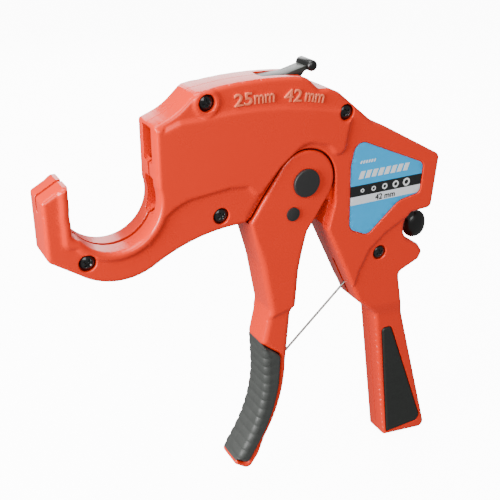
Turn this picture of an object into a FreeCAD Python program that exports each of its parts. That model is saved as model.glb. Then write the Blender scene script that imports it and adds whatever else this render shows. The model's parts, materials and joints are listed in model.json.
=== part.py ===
"""Ratchet pipe cutter for plastic pipe up to 42 mm.

Two cast housing halves carry a curved blade that swings about a centre far
below the jaw.  Squeezing the front lever feeds the toothed blade carriage
one tooth at a time; a holding pawl under the top tab keeps it there.

Frame: +X from the hook to the tail, +Y to the right-hand housing, +Z up.
The origin is the centre of the pipe seat.  Lengths are in millimetres.
"""
import FreeCAD, Part
import math
import os

# ---- pipe seat and hook ----
SEAT_R = 21.5              # seat radius, for a pipe of 42 mm
HOOK_WALL_X = -21.2        # inner wall of the hook
FRONT_WALL_X = 20.6        # front face of the body, above the seat

# ---- half thicknesses, from the parting plane y = 0 ----
GRIP_Y = 8.3               # rear grip
HEAD_Y = 10.5              # flat sides of the head
BULGE_Y = 11.5             # raised side over the blade channel
RECESS_Y = 7.0             # floor of the recess for the lever's cheek
CHEEK_IN_Y = 7.3           # inner side of the lever's cheek
LEVER_Y = 10.5             # outer side of the lever
CHANNEL_Y = 5.0            # half width of the channel for the carriage
CARRIAGE_Y = 4.6
SLIT_Y = 0.95              # half width of the blade slit
BLADE_Y = 0.75

# ---- blade travel: everything turns about one far centre ----
TRAVEL_X = 65.0
TRAVEL_Z = -95.0
BLADE_IN_R = 93.0
BLADE_OUT_R = 135.0
RACK_IN_R = 106.2          # tips of the inner teeth
RACK_OUT_R = 130.0         # tips of the outer teeth
TOOTH_DEPTH = 2.0
TOOTH_PITCH_DEG = 2.0
TOOTH_COUNT = 18
RACK_FRONT_DEG = 10.5      # angles from the vertical, positive to the rear
RACK_REAR_DEG = 61.0

# ---- main pivot, lever and pawls ----
PIVOT_X = 101.0
PIVOT_Z = -5.0
PIVOT_R = 4.0
PIVOT_GAP = 0.06           # radial running clearance on pins that turn
CHEEK_R = 17.0
LINK_PIN = (93.6, -20.8)
LINK_PIN_R = 2.5
DRIVE_PIN = (115.0, -11.0)
DRIVE_PIN_R = 1.5
HOLD_PIN = (83.0, 44.5)
HOLD_PIN_R = 1.5
DRIVE_TIP_DEG = 22.8       # where the drive pawl meets the rack
DRIVE_TIP_R = 107.3
DRIVE_PARKED_DEG = 8.2     # the drive pawl is parked folded back by this
HOLD_TIP_DEG = 13.55       # where the holding pawl meets the rack

# ---- return spring of the lever ----
SPRING_PIN = (141.0, -63.0)
SPRING_PIN_R = 3.0
COIL_R = 4.5
WIRE_R = 0.65
SPRING_TIP = (91.5, -114.0)

# ---- fasteners ----
SCREW_R = 2.0
SCREW_HOLE_R = 2.15
SCREW_HEAD_R = 3.6
SCREW_BORE_R = 4.2
SCREW_HEAD_H = 2.2
NUT_AF = 7.0
NUT_H = 3.2
SCREWS = [(46.6, 43.1), (123.9, 28.5), (53.2, -14.3), (-15.3, -24.4), (151.1, -55.6)]
INLAY_SCREW = (179.2, -172.0)

# ---- outlines of the rear grip and of the front edge of the tail ----
GRIP_FRONT_TOP = (152.4, -96.5)
GRIP_FRONT_FOOT = (165.7, -187.4)
GRIP_BACK_FOOT = (198.8, -191.6)
CHIN_TOP = (114.0, -31.5)
CHIN_FOOT = (138.7, -83.3)

# ---- blade, rivets and knob, by angle about the travel centre ----
BLADE_TIP_DEG = -18.0
BLADE_BACK_DEG = 23.0
BLADE_TAIL_DEG = 9.0
RIVET_DEGS = (14.0, 20.5)
RIVET_AT_R = 118.0
RIVET_R = 2.5
KNOB_DEG = 67.3
KNOB_MID_R = 124.2
KNOB_R = 6.6

# ---- drive plates and holding pawl ----
PLATE_IN_Y = 2.4
PLATE_OUT_Y = 4.5
TAB_TOP_Z = 50.4
THUMB_BAR = (105.6, 53.0)
THUMB_BAR_R = 2.75
THUMB_BAR_Y = 7.0


# ---------------------------------------------------------------- helpers
def point(x, z, y=0.0):
    return FreeCAD.Vector(x, y, z)


def travel(deg, radius):
    """Point on the travel circle, by angle from the vertical."""
    angle = math.radians(deg)
    return (TRAVEL_X + radius * math.sin(angle), TRAVEL_Z + radius * math.cos(angle))


def turned(xz, centre, deg):
    """Turn a point about a centre; positive runs from +X towards +Z."""
    angle = math.radians(deg)
    dx = xz[0] - centre[0]
    dz = xz[1] - centre[1]
    x = centre[0] + dx * math.cos(angle) - dz * math.sin(angle)
    z = centre[1] + dx * math.sin(angle) + dz * math.cos(angle)
    return (x, z)


def rounded(before, corner, after):
    """Tangent arc in a corner (x, z, radius): its start, middle and end."""
    here = point(corner[0], corner[1])
    to_before = (point(*before[-2:]) if len(before) == 4 else point(*before[:2])) - here
    to_after = point(*after[:2]) - here
    to_before.normalize()
    to_after.normalize()
    half = to_before.getAngle(to_after) / 2
    reach = corner[2] / math.tan(half)
    start = here + to_before * reach
    end = here + to_after * reach
    axis = to_before + to_after
    axis.normalize()
    middle = here + axis * (corner[2] / math.sin(half) - corner[2])
    return start, middle, end


def outline(items):
    """Closed wire in the XZ plane.

    (x, z) is a sharp corner, (x, z, radius) a rounded one, and
    (xm, zm, x, z) an arc through (xm, zm) that ends at (x, z).
    """
    edges = []
    count = len(items)
    arcs = {}
    for i, item in enumerate(items):
        if len(item) == 3:
            arcs[i] = rounded(items[i - 1], item, items[(i + 1) % count])
    last = arcs[0][2] if 0 in arcs else point(*items[0][-2:])
    for step in range(1, count + 1):
        i = step % count
        item = items[i]
        if len(item) == 4:
            end = point(item[2], item[3])
            edges.append(Part.Arc(last, point(item[0], item[1]), end).toShape())
            last = end
            continue
        start = arcs[i][0] if i in arcs else point(item[0], item[1])
        if start.distanceToPoint(last) > 1e-4:
            edges.append(Part.LineSegment(last, start).toShape())
        last = start
        if i in arcs:
            edges.append(Part.Arc(*arcs[i]).toShape())
            last = arcs[i][2]
    return Part.Wire(edges)


def prism(items, y0, y1):
    """Solid between two planes of constant y."""
    face = Part.Face(outline(items))
    face.translate(FreeCAD.Vector(0, y0, 0))
    return face.extrude(FreeCAD.Vector(0, y1 - y0, 0))


def rod(centre, radius, y0, y1):
    """Cylinder along Y."""
    base = point(centre[0], centre[1], y0)
    return Part.makeCylinder(radius, y1 - y0, base, FreeCAD.Vector(0, 1, 0))


def block(x0, x1, y0, y1, z0, z1):
    return Part.makeBox(x1 - x0, y1 - y0, z1 - z0, FreeCAD.Vector(x0, y0, z0))


def sector(r0, r1, deg0, deg1, y0, y1):
    """Piece of a ring about the travel centre."""
    middle = (deg0 + deg1) / 2
    return prism([
        travel(deg0, r0),
        travel(deg0, r1),
        travel(middle, r1) + travel(deg1, r1),
        travel(deg1, r0),
        travel(middle, r0) + travel(deg0, r0),
    ], y0, y1)


def ring(centre, r_in, r_out, y0, y1):
    return rod(centre, r_out, y0, y1).cut(rod(centre, r_in, y0 - 1, y1 + 1))


def hexagon(centre, across, y0, y1):
    corner_r = across / math.sqrt(3)
    items = []
    for i in range(6):
        angle = math.radians(60 * i)
        items.append((centre[0] + corner_r * math.cos(angle), centre[1] + corner_r * math.sin(angle)))
    return prism(items, y0, y1)


def fused(shapes):
    whole = shapes[0].multiFuse(shapes[1:])
    return whole.removeSplitter()


def mirrored(shape):
    """The same piece on the other side of the parting plane."""
    return shape.mirror(FreeCAD.Vector(0, 0, 0), FreeCAD.Vector(0, 1, 0))


def write(node, shape):
    """One STEP file, and a line that says what it holds."""
    good = shape.isValid() and all(solid.isClosed() for solid in shape.Solids)
    shape.exportStep("parts/%s.step" % node)
    state = "ok" if good else "BAD"
    print("%-22s solids %d  volume %9.1f  %s" % (node, len(shape.Solids), shape.Volume, state))


# ---------------------------------------------------------------- housings
def side_outline():
    """The silhouette of a housing, with the open jaw still filled in."""
    return [
        (HOOK_WALL_X, 14.1),
        (-23.4, 14.1),
        (-33.5, 8.6, 2.0),
        (-33.5, -20.4, 4.0),
        (-19.0, -30.4),
        (1.0, -37.6, 19.6, -32.4),
        (40.1, -24.1, 61.0, -21.1),
        (70.0, -20.6),
        (84.0, -18.0),
        (90.3, -14.0),
        (101.0, -19.0, 110.0, -15.7),
        (117.6, -19.0),
        CHIN_TOP + (1.5,),
        CHIN_FOOT + (2.0,),
        GRIP_FRONT_TOP + (2.0,),
        GRIP_FRONT_FOOT + (1.5,),
        GRIP_BACK_FOOT + (4.0,),
        (172.8, -103.0),
        (169.2, -88.0, 167.0, -77.0),
        (166.2, -71.8, 3.0),
        (179.6, -66.2, 2.0),
        (181.8, -61.5, 2.0),
        (178.6, -56.6, 2.0),
        (171.0, -52.0),
        (167.0, -44.6, 169.6, -36.6),
        (170.8, -35.2, 1.0),
        (184.6, -34.6, 3.5),
        (187.2, -3.6, 3.5),
        (148.4, 18.0, 12.0),
        (140.9, 21.2, 3.0),
        (119.3, 39.2, 5.0),
        (113.0, 42.0, 3.0),
        (107.4, 42.2, 3.0),
        (101.5, 47.8, 3.0),
        (97.5, 49.5),
        (70.0, 50.8, 42.6, 48.5),
        (40.6, 47.6, 1.5),
        (36.0, 43.4),
        (31.5, 40.0, 26.0, 37.3),
        (FRONT_WALL_X, 35.3),
    ]


def jaw_opening(y0, y1, grow=0.0):
    """What the open jaw takes out of the body: the pipe seat and its way in."""
    seat = rod((0.0, 0.0), SEAT_R + grow, y0, y1)
    way_in = prism([
        (HOOK_WALL_X - grow, 70.0),
        (HOOK_WALL_X - grow, -10.2 - grow, 3.0),
        (-17.4, -12.6 - grow),
        (0.0, -6.0),
        (FRONT_WALL_X + grow, -6.16),
        (FRONT_WALL_X + grow, 70.0),
    ], y0, y1)
    return seat.fuse(way_in)


def grip_line():
    """Region of the rear grip, which is thinner than the head."""
    return [(120.0, -90.0), (175.0, -88.0), (230.0, -88.0), (230.0, -230.0), (120.0, -230.0)]


def bulge_outline():
    """Raised side over the blade channel, with the lip along the seat."""
    return [
        (FRONT_WALL_X - 8.0, 34.0),
        (FRONT_WALL_X - 8.0, -20.0),
        (15.4, -21.4),
        (22.4, -10.4, 37.2, -2.3),
        (57.9, -0.2),
        (67.5, -1.2, 3.0),
        (73.5, -8.0, 3.0),
        (86.0, 6.0, 6.0),
        (100.0, 17.0, 12.0),
        (114.0, 13.0, 6.0),
        (122.0, 1.0, 4.0),
        (127.0, 29.0, 3.0),
        (102.0, 33.9),
        (68.9, 37.3, 43.0, 36.2),
        (33.0, 36.0, 3.0),
        (24.0, 33.0),
    ]


def cheek_recess():
    """Recess in the side for the lever's cheek, over its whole swing."""
    round_part = rod((PIVOT_X, PIVOT_Z), CHEEK_R + 0.9, RECESS_Y, 20.0)
    fan = prism([
        (68.6, -21.6),
        (87.3, 6.6),
        (101.0, 0.0),
        (118.9, -5.0),
        (119.6, -20.0),
        (110.0, -60.0),
        (60.0, -60.0),
    ], RECESS_Y, 20.0)
    return round_part.fuse(fan)


def slit_limit():
    """How near to the hook's outer faces the blade slit may come."""
    return prism([
        (-30.8, 60.0),
        (-30.8, -15.5),
        (-17.0, -25.0),
        (-6.0, -31.5),
        (10.0, -32.0),
        (200.0, -32.0),
        (200.0, 60.0),
    ], -20.0, 20.0)


def channel_cuts():
    """Everything hollow inside the two halves, cut from both."""
    hold_pocket = block(77.5, 103.4, -CHANNEL_Y, CHANNEL_Y, 30.0, 60.0)
    drive_pocket = rod((PIVOT_X, PIVOT_Z), 18.8, -CHANNEL_Y, CHANNEL_Y)
    drive_mouth = prism([(88.0, -40.0), (89.0, -6.0), (114.0, -6.0), (111.0, -40.0)], -CHANNEL_Y, CHANNEL_Y)
    spring_pocket = rod(SPRING_PIN, COIL_R + 2.0, -CHANNEL_Y, CHANNEL_Y)
    spring_slit = prism([
        SPRING_PIN,
        (132.5, -52.0),
        (118.0, -66.0),
        (128.0, -95.0),
        (144.8, -95.0),
        (146.5, -63.0),
    ], -1.6, 1.6)
    return [
        sector(BLADE_IN_R - 1.2, BLADE_OUT_R + 1.0, -50.0, 14.0, -SLIT_Y, SLIT_Y).common(slit_limit()),
        prism([(-20.0, 20.0), (-36.0, 20.0), (-36.0, 1.0), (-29.0, 1.0), (-20.0, 8.0)], -SLIT_Y, SLIT_Y),
        sector(97.0, BLADE_OUT_R + 1.0, -32.0, 14.0, -CHANNEL_Y, CHANNEL_Y).common(
            block(FRONT_WALL_X - 9.0, 200.0, -20.0, 20.0, -60.0, 60.0)),
        sector(RACK_IN_R - 1.4, RACK_OUT_R + 3.2, 9.0, 64.0, -CHANNEL_Y, CHANNEL_Y),
        sector(114.0, RACK_OUT_R + 3.2, 60.0, 70.0, -CHANNEL_Y, CHANNEL_Y),
        hold_pocket,
        drive_pocket,
        drive_mouth,
        spring_pocket,
        spring_slit,
    ]


def label_outline(shrink=0.0):
    """Shield-shaped pocket for the label on the tail."""
    return [
        (128.2 + shrink, -1.0),
        (131.2 + shrink, 13.5 - shrink, 5.5),
        (176.2 - shrink, -6.2 - shrink, 4.0),
        (175.4 - shrink, -24.0 + shrink, 3.5),
        (161.0, -26.2 + shrink, 12.0),
        (141.5, -42.8 + shrink, 4.5),
        (129.3 + shrink, -37.5 + shrink, 5.0),
    ]


def inlay_outline(shrink=0.0):
    """Tapered rubber inlay on the side of the rear grip."""
    return [
        (157.6 + shrink, -107.0 - shrink, 2.2 - shrink),
        (164.6 - shrink, -107.4 - shrink, 2.2 - shrink),
        (192.8 - shrink, -180.6, 3.0 - shrink),
        (190.6 - shrink, -184.0 + shrink, 1.6 - shrink),
        (167.2 + shrink, -185.2 + shrink, 1.6 - shrink),
    ]


def guide_lugs():
    """Small lug in the channel mouth that guides the flat of the blade."""
    lug = sector(112.0, 119.5, -22.9, -20.4, SLIT_Y, CHANNEL_Y + 0.5)
    return lug.common(block(FRONT_WALL_X, 40.0, 0.0, 20.0, 0.0, 40.0))


def housing_half():
    """Plain right-hand half, before its fastener pockets."""
    whole = side_outline()
    grip = prism(whole, 0.0, GRIP_Y)
    head = prism(whole, 0.0, HEAD_Y).cut(prism(grip_line(), -1.0, 20.0))
    inside = prism(whole, 0.0, BULGE_Y)
    bulge = inside.common(prism(bulge_outline(), 0.0, BULGE_Y))
    lip = inside.common(jaw_opening(0.0, BULGE_Y, 4.0)).cut(block(-60, 60, -1, 20, 34.0, 80))
    half = fused([grip, head, bulge, lip])
    half = half.cut(jaw_opening(-1.0, 20.0))
    half = half.cut(cheek_recess())
    for hollow in channel_cuts():
        half = half.cut(hollow)
    half = half.fuse(guide_lugs())
    half = half.cut(rod((PIVOT_X, PIVOT_Z), PIVOT_R + PIVOT_GAP, -1.0, 20.0))
    half = half.cut(rod(HOLD_PIN, HOLD_PIN_R, -1.0, 8.0))
    half = half.cut(rod(SPRING_PIN, SPRING_PIN_R, -1.0, 7.5))
    half = half.cut(prism(label_outline(), HEAD_Y - 0.8, 20.0))
    half = half.cut(prism(inlay_outline(), GRIP_Y - 1.6, 20.0))
    half = half.cut(rod(INLAY_SCREW, SCREW_HEAD_R + 0.2, GRIP_Y - SCREW_HEAD_H - 0.1, 20.0))
    for place in SCREWS + [INLAY_SCREW]:
        half = half.cut(rod(place, SCREW_HOLE_R, -1.0, 20.0))
    return half


def left_housing(half):
    left = mirrored(half)
    for place in SCREWS:
        left = left.cut(rod(place, SCREW_BORE_R, -20.0, -HEAD_Y + SCREW_HEAD_H + 0.4))
    return left


def right_housing(half):
    right = half.copy()
    for place in SCREWS:
        right = right.cut(hexagon(place, NUT_AF + 0.2, HEAD_Y - NUT_H - 0.6, 20.0))
    return right


# ---------------------------------------------------------------- fasteners
def pan_screw(place, head_y, tip_y):
    """Pan head screw along Y with a cross slot; the head faces -Y."""
    head = rod(place, SCREW_HEAD_R, head_y, head_y + SCREW_HEAD_H)
    rim = [edge for edge in head.Edges if abs(edge.CenterOfMass.y - head_y) < 0.01]
    head = head.makeFillet(0.9, rim[:1])
    screw = head.fuse(rod(place, SCREW_R, head_y + 1.0, tip_y))
    slot = SCREW_HEAD_R * 0.6
    for long, thin in ((slot, 0.4), (0.4, slot)):
        cutter = block(place[0] - long, place[0] + long, head_y - 1, head_y + 1.3,
                       place[1] - thin, place[1] + thin)
        screw = screw.cut(cutter)
    return screw


def housing_screws():
    return Part.makeCompound([pan_screw(p, -HEAD_Y + 0.2, HEAD_Y - 0.6) for p in SCREWS])


def housing_nuts():
    nuts = []
    for place in SCREWS:
        nut = hexagon(place, NUT_AF, HEAD_Y - NUT_H - 0.5, HEAD_Y - 0.5)
        nuts.append(nut.cut(rod(place, SCREW_R + 0.05, 0.0, 20.0)))
    return Part.makeCompound(nuts)


def inlay_screws():
    """A screw on each side holds the inlay; both end inside the grip."""
    left = pan_screw(INLAY_SCREW, -GRIP_Y - 0.1, -0.6)
    return Part.makeCompound([left, mirrored(left)])


def label():
    """Thin printed plate in the right-hand pocket."""
    return prism(label_outline(0.3), HEAD_Y - 0.8, HEAD_Y - 0.35)


def grip_inlay():
    """Rubber inlay, a little proud of the grip, with a hole for its screw."""
    pad = prism(inlay_outline(0.25), GRIP_Y - 1.6, GRIP_Y + 0.3)
    pad = pad.cut(rod(INLAY_SCREW, SCREW_HOLE_R, 0.0, 20.0))
    return pad.cut(rod(INLAY_SCREW, SCREW_HEAD_R + 0.2, GRIP_Y - SCREW_HEAD_H + 0.05, 20.0))


# ---------------------------------------------------------------- blade group
def rivet_places():
    return [travel(deg, RIVET_AT_R) for deg in RIVET_DEGS]


def blade():
    """Curved blade: a bevelled point in front, a tail for the rivets."""
    tip = travel(BLADE_TIP_DEG, 112.0)
    low = travel(BLADE_TIP_DEG + 4.5, BLADE_IN_R)
    high = travel(BLADE_TIP_DEG + 5.0, BLADE_OUT_R)
    flat = prism([
        low,
        tip,
        high,
        travel(-2.0, BLADE_OUT_R) + travel(5.0, BLADE_OUT_R),
        travel(BLADE_TAIL_DEG, 127.0),
        travel(16.0, 127.0) + travel(BLADE_BACK_DEG, 127.0),
        travel(BLADE_BACK_DEG, 110.5),
        travel(16.0, 110.5) + travel(BLADE_TAIL_DEG, 110.5),
        travel(BLADE_TAIL_DEG, BLADE_IN_R),
        travel(-2.0, BLADE_IN_R) + low,
    ], -BLADE_Y, BLADE_Y)
    for rivet in rivet_places():
        flat = flat.cut(rod(rivet, RIVET_R, -5, 5))
    for edge_end in (low, high):
        flat = flat.cut(bevel(tip, edge_end, 1)).cut(bevel(tip, edge_end, -1))
    return flat


def bevel(tip, end, side):
    """Wedge that grinds one side of the blade down to its cutting edge."""
    width = 5.0
    along = point(*end) - point(*tip)
    along.normalize()
    inward = FreeCAD.Vector(-along.z, 0, along.x)
    if inward.x < 0:
        inward = inward * -1
    start = point(*tip) - along * 6.0 - inward * 1.0
    face = Part.makePolygon([
        start + FreeCAD.Vector(0, side * -0.05, 0),
        start + inward * (width + 1.0) + FreeCAD.Vector(0, side * BLADE_Y, 0),
        start + inward * (width + 1.0) + FreeCAD.Vector(0, side * 3.0, 0),
        start + FreeCAD.Vector(0, side * 3.0, 0),
        start + FreeCAD.Vector(0, side * -0.05, 0),
    ])
    length = point(*end).distanceToPoint(point(*tip)) + 12.0
    return Part.Face(face).extrude(along * length)


def blade_rivets():
    return Part.makeCompound([rod(p, RIVET_R, -CARRIAGE_Y, CARRIAGE_Y) for p in rivet_places()])


def tooth(deg, tip_r, root_r):
    """Saw tooth: steeper on its rear face, sloping towards the front."""
    return prism([
        travel(deg, root_r),
        travel(deg - 0.55, tip_r),
        travel(deg - 0.85, tip_r),
        travel(deg - 1.8, root_r),
    ], -CARRIAGE_Y, CARRIAGE_Y)


def blade_carriage():
    """Toothed arc that carries the blade, with a stem for the knob."""
    inner_root = RACK_IN_R + TOOTH_DEPTH
    outer_root = RACK_OUT_R - TOOTH_DEPTH
    body = sector(inner_root, outer_root, RACK_FRONT_DEG, RACK_REAR_DEG, -CARRIAGE_Y, CARRIAGE_Y)
    pieces = [body]
    for i in range(TOOTH_COUNT):
        turn = TOOTH_PITCH_DEG * i
        pieces.append(tooth(DRIVE_TIP_DEG - 0.28 + turn, RACK_IN_R, inner_root + 0.05))
        pieces.append(tooth(HOLD_TIP_DEG - 0.67 + turn, RACK_OUT_R, outer_root - 0.05))
    pieces.append(sector(inner_root, RACK_OUT_R - 0.6, RACK_REAR_DEG - 3.0, RACK_REAR_DEG + 1.5, -2.6, 2.6))
    pieces.append(sector(121.5, 126.5, RACK_REAR_DEG, KNOB_DEG, -2.6, 2.6))
    carriage = fused(pieces)
    slot = sector(110.2, 127.3, 0.0, BLADE_BACK_DEG + 0.2, -BLADE_Y, BLADE_Y)
    carriage = carriage.cut(slot)
    for rivet in rivet_places():
        carriage = carriage.cut(rod(rivet, RIVET_R, -10, 10))
    return carriage


def carriage_knob(carriage):
    """Flattened knob behind the tail; it fits through the channel."""
    centre = travel(KNOB_DEG, KNOB_MID_R)
    ball = Part.makeSphere(KNOB_R + 1.6, point(*centre))
    knob = ball.common(rod(centre, KNOB_R, -CARRIAGE_Y + 0.1, CARRIAGE_Y - 0.1))
    return knob.cut(carriage)


# ---------------------------------------------------------------- lever group
def lever_outline():
    """Front lever at rest, from its cheek down to the lip at its foot."""
    return [
        (69.6, -21.8, 1.5),
        (87.1, 4.9),
        (PIVOT_X, PIVOT_Z + CHEEK_R, 117.6, -8.7),
        (116.2, -13.0, 3.0),
        (103.4, -32.6, 4.0),
        (99.2, -54.0),
        (97.6, -76.0, 2.0),
        (95.0, -79.5, 2.0),
        (92.6, -110.0),
        (89.5, -134.0, 80.0, -157.0),
        (76.0, -168.0, 5.0),
        (69.5, -177.5, 4.0),
        (59.8, -170.2, 2.5),
        (66.0, -160.0),
        (75.6, -138.0, 78.6, -116.0),
        (77.5, -94.0),
        (81.6, -75.0, 6.0),
        (76.2, -47.0),
    ]


def grip_boundary():
    """Side outline of the rubber on the lever."""
    return [
        (70.0, -90.0),
        (76.0, -94.0),
        (81.5, -99.0, 4.0),
        (88.4, -105.0, 4.0),
        (87.6, -122.0),
        (84.0, -139.0, 75.5, -158.5),
        (68.0, -172.0, 3.0),
        (62.0, -168.0),
        (55.0, -170.0),
        (55.0, -90.0),
    ]


def lever_inside():
    """Hollow of the U-shaped lever, open at the back for the drive plates."""
    fork = prism([
        (60.0, -23.6),
        (74.0, -23.6),
        (85.0, -40.0, 6.0),
        (104.0, -48.0),
        (130.0, -40.0),
        (130.0, 30.0),
        (60.0, 30.0),
    ], -CHEEK_IN_Y, CHEEK_IN_Y)
    groove = prism([
        (86.0, -38.0),
        (110.0, -38.0),
        (110.0, -150.0),
        (81.5, -149.0),
        (85.2, -136.0),
        (84.6, -120.0),
        (85.6, -80.0),
    ], -2.2, 2.2)
    return fork.fuse(groove)


def rubber_shell():
    """Rubber over the lever's front, with the metal core taken out."""
    outside = prism(lever_outline(), -LEVER_Y, LEVER_Y)
    zone = prism(grip_boundary(), -20.0, 20.0)
    core = prism([
        (81.0, -80.0),
        (81.0, -98.0, 3.0),
        (82.2, -116.0),
        (79.0, -136.0, 71.0, -157.0),
        (66.0, -166.5, 2.0),
        (74.0, -170.0),
        (130.0, -140.0),
        (130.0, -80.0),
    ], -LEVER_Y + 2.0, LEVER_Y - 2.0)
    return outside.common(zone).cut(core)


def front_lever(rubber):
    lever = prism(lever_outline(), -LEVER_Y, LEVER_Y)
    lever = lever.cut(lever_inside()).cut(rubber)
    lever = lever.cut(rod((PIVOT_X, PIVOT_Z), PIVOT_R + PIVOT_GAP, -20, 20))
    return lever.cut(rod(LINK_PIN, LINK_PIN_R, -20, 20))


def main_pivot_pin():
    """Large pin with a low domed head on the left."""
    head = rod((PIVOT_X, PIVOT_Z), 7.5, -LEVER_Y - 1.8, -LEVER_Y - 0.1)
    rim = [edge for edge in head.Edges if abs(edge.CenterOfMass.y + LEVER_Y + 1.8) < 0.01]
    head = head.makeFillet(0.7, rim[:1])
    return head.fuse(rod((PIVOT_X, PIVOT_Z), PIVOT_R, -LEVER_Y - 1.0, LEVER_Y + 1.7))


def pivot_clip():
    """Spring washer that holds the pin on the right."""
    return ring((PIVOT_X, PIVOT_Z), PIVOT_R, 7.0, LEVER_Y + 0.1, LEVER_Y + 1.2)


def pivot_washers():
    """Thin washers between the cheeks and the housing."""
    washer = ring((PIVOT_X, PIVOT_Z), PIVOT_R + 0.1, 8.0, RECESS_Y, RECESS_Y + 0.25)
    return Part.makeCompound([washer, mirrored(washer)])


def lever_link_pin():
    """Pin through both cheeks and the drive plates."""
    shank = rod(LINK_PIN, LINK_PIN_R, -LEVER_Y - 0.4, LEVER_Y + 0.4)
    heads = [rod(LINK_PIN, 3.7, -LEVER_Y - 0.9, -LEVER_Y), rod(LINK_PIN, 3.7, LEVER_Y, LEVER_Y + 0.9)]
    return fused([shank] + heads)


def drive_plate():
    """One of the two steel plates that turn with the lever."""
    hub = rod((PIVOT_X, PIVOT_Z), 8.6, PLATE_IN_Y, PLATE_OUT_Y)
    eye = rod(DRIVE_PIN, 2.8, PLATE_IN_Y, PLATE_OUT_Y)
    foot = rod(LINK_PIN, 4.6, PLATE_IN_Y, PLATE_OUT_Y)
    arm = prism([(101.0, -13.0), (114.0, -13.6), (116.5, -8.6), (106.0, 1.0)], PLATE_IN_Y, PLATE_OUT_Y)
    leg = prism([(93.0, -8.0), (89.3, -20.0), (97.8, -21.5), (107.0, -11.0)], PLATE_IN_Y, PLATE_OUT_Y)
    plate = fused([hub, eye, foot, arm, leg])
    plate = plate.cut(rod((PIVOT_X, PIVOT_Z), PIVOT_R + PIVOT_GAP, 0, 10))
    plate = plate.cut(rod(LINK_PIN, LINK_PIN_R, 0, 10))
    return plate.cut(rod(DRIVE_PIN, DRIVE_PIN_R, 0, 10))


def drive_plates():
    plate = drive_plate()
    return Part.makeCompound([plate, mirrored(plate)])


def drive_pawl_pin():
    return rod(DRIVE_PIN, DRIVE_PIN_R, -PLATE_OUT_Y, PLATE_OUT_Y)


def drive_pawl():
    """Strut that pushes the rack; drawn parked, folded back off the teeth."""
    tip = travel(DRIVE_TIP_DEG, DRIVE_TIP_R)
    engaged = [
        (DRIVE_PIN[0] - 2.2, DRIVE_PIN[1] - 0.8),
        (tip[0] - 1.5, tip[1] - 3.0),
        (tip[0] - 0.5, tip[1] + 0.1),
        (tip[0] + 0.3, tip[1] - 0.3),
        (tip[0] + 0.5, tip[1] - 4.0),
        (DRIVE_PIN[0] + 2.2, DRIVE_PIN[1] + 0.8),
    ]
    parked = [turned(p, DRIVE_PIN, DRIVE_PARKED_DEG) for p in engaged]
    pawl = prism(parked, -2.1, 2.1).fuse(rod(DRIVE_PIN, 2.5, -2.1, 2.1))
    return pawl.cut(rod(DRIVE_PIN, DRIVE_PIN_R + PIVOT_GAP, -5, 5))


def drive_pawl_spring():
    """Leaf of spring wire on the plates, beside the pawl."""
    foot = rod((104.5, -12.2), 1.2, -PLATE_IN_Y, PLATE_IN_Y)
    leaf = prism([(104.9, -12.9), (108.0, -9.0), (107.5, -8.6), (104.3, -12.5)], -2.0, 2.0)
    return foot.fuse(leaf)


# ---------------------------------------------------------------- top tab
def hold_pawl_solid():
    """Whole holding pawl: hub, nose over the rack, and an arm up to the thumb bar."""
    nose = travel(HOLD_TIP_DEG, RACK_OUT_R + 0.3)
    web = prism([
        (HOLD_PIN[0] - 2.0, HOLD_PIN[1] - 1.8),
        (91.0, 38.6),
        (nose[0] - 1.8, nose[1] + 2.4),
        (nose[0] - 0.5, nose[1]),
        (nose[0] + 0.5, nose[1] + 0.2),
        (nose[0] + 2.2, nose[1] + 4.0),
        (101.0, 47.0),
        (104.0, 50.6),
        (92.0, 48.6),
        (81.5, 48.6),
    ], -2.2, 2.2)
    plate = prism([
        (79.0, 48.2),
        (92.2, 48.2),
        (104.4, 51.2),
        (104.4, 53.6),
        (91.8, TAB_TOP_Z),
        (79.0, TAB_TOP_Z - 0.4),
    ], -PLATE_OUT_Y, PLATE_OUT_Y)
    hub = rod(HOLD_PIN, 3.4, -2.2, 2.2)
    pawl = fused([web, plate, hub])
    pawl = pawl.cut(rod(HOLD_PIN, HOLD_PIN_R + PIVOT_GAP, -10, 10))
    return pawl.cut(rod(THUMB_BAR, THUMB_BAR_R, -10, 10))


def inside_housing():
    """Room under the top edge, where the toothed nose of the holding pawl works."""
    return block(87.5, 110.0, -10.0, 10.0, 20.0, 44.5)


def hold_pawl():
    return hold_pawl_solid().cut(inside_housing())


def hold_pawl_nose():
    return hold_pawl_solid().common(inside_housing())


def thumb_bar():
    return rod(THUMB_BAR, THUMB_BAR_R, -THUMB_BAR_Y, THUMB_BAR_Y)


def hold_pawl_pin():
    return rod(HOLD_PIN, HOLD_PIN_R, -8.0, 8.0)


def hold_pawl_spring():
    """Coil beside the hub that presses the nose down."""
    coils = [ring(HOLD_PIN, 1.8, 3.0, y, y + 0.6) for y in (2.5, 3.2, 3.9)]
    back = block(HOLD_PIN[0] - 3.0, HOLD_PIN[0] - 2.4, 2.5, 4.5, HOLD_PIN[1] - 0.5, HOLD_PIN[1] + 0.5)
    return fused(coils + [back])


# ---------------------------------------------------------------- return spring
def lever_return_spring():
    """Close-wound coil on its pin, with one long straight leg to the lever."""
    coil = ring(SPRING_PIN, COIL_R - WIRE_R, COIL_R + WIRE_R, -2.6, 2.6)
    reach = math.hypot(SPRING_TIP[0] - SPRING_PIN[0], SPRING_TIP[1] - SPRING_PIN[1])
    swing = math.degrees(math.asin(COIL_R / reach))
    start = turned(SPRING_TIP, SPRING_PIN, 90.0 - swing)
    ratio = COIL_R / reach
    start = (SPRING_PIN[0] + (start[0] - SPRING_PIN[0]) * ratio,
             SPRING_PIN[1] + (start[1] - SPRING_PIN[1]) * ratio)
    run = point(*SPRING_TIP) - point(*start)
    leg = Part.makeCylinder(WIRE_R, run.Length, point(*start), run)
    return coil.fuse(leg)


def return_spring_pin():
    return rod(SPRING_PIN, SPRING_PIN_R, -7.5, 7.5)


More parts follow.
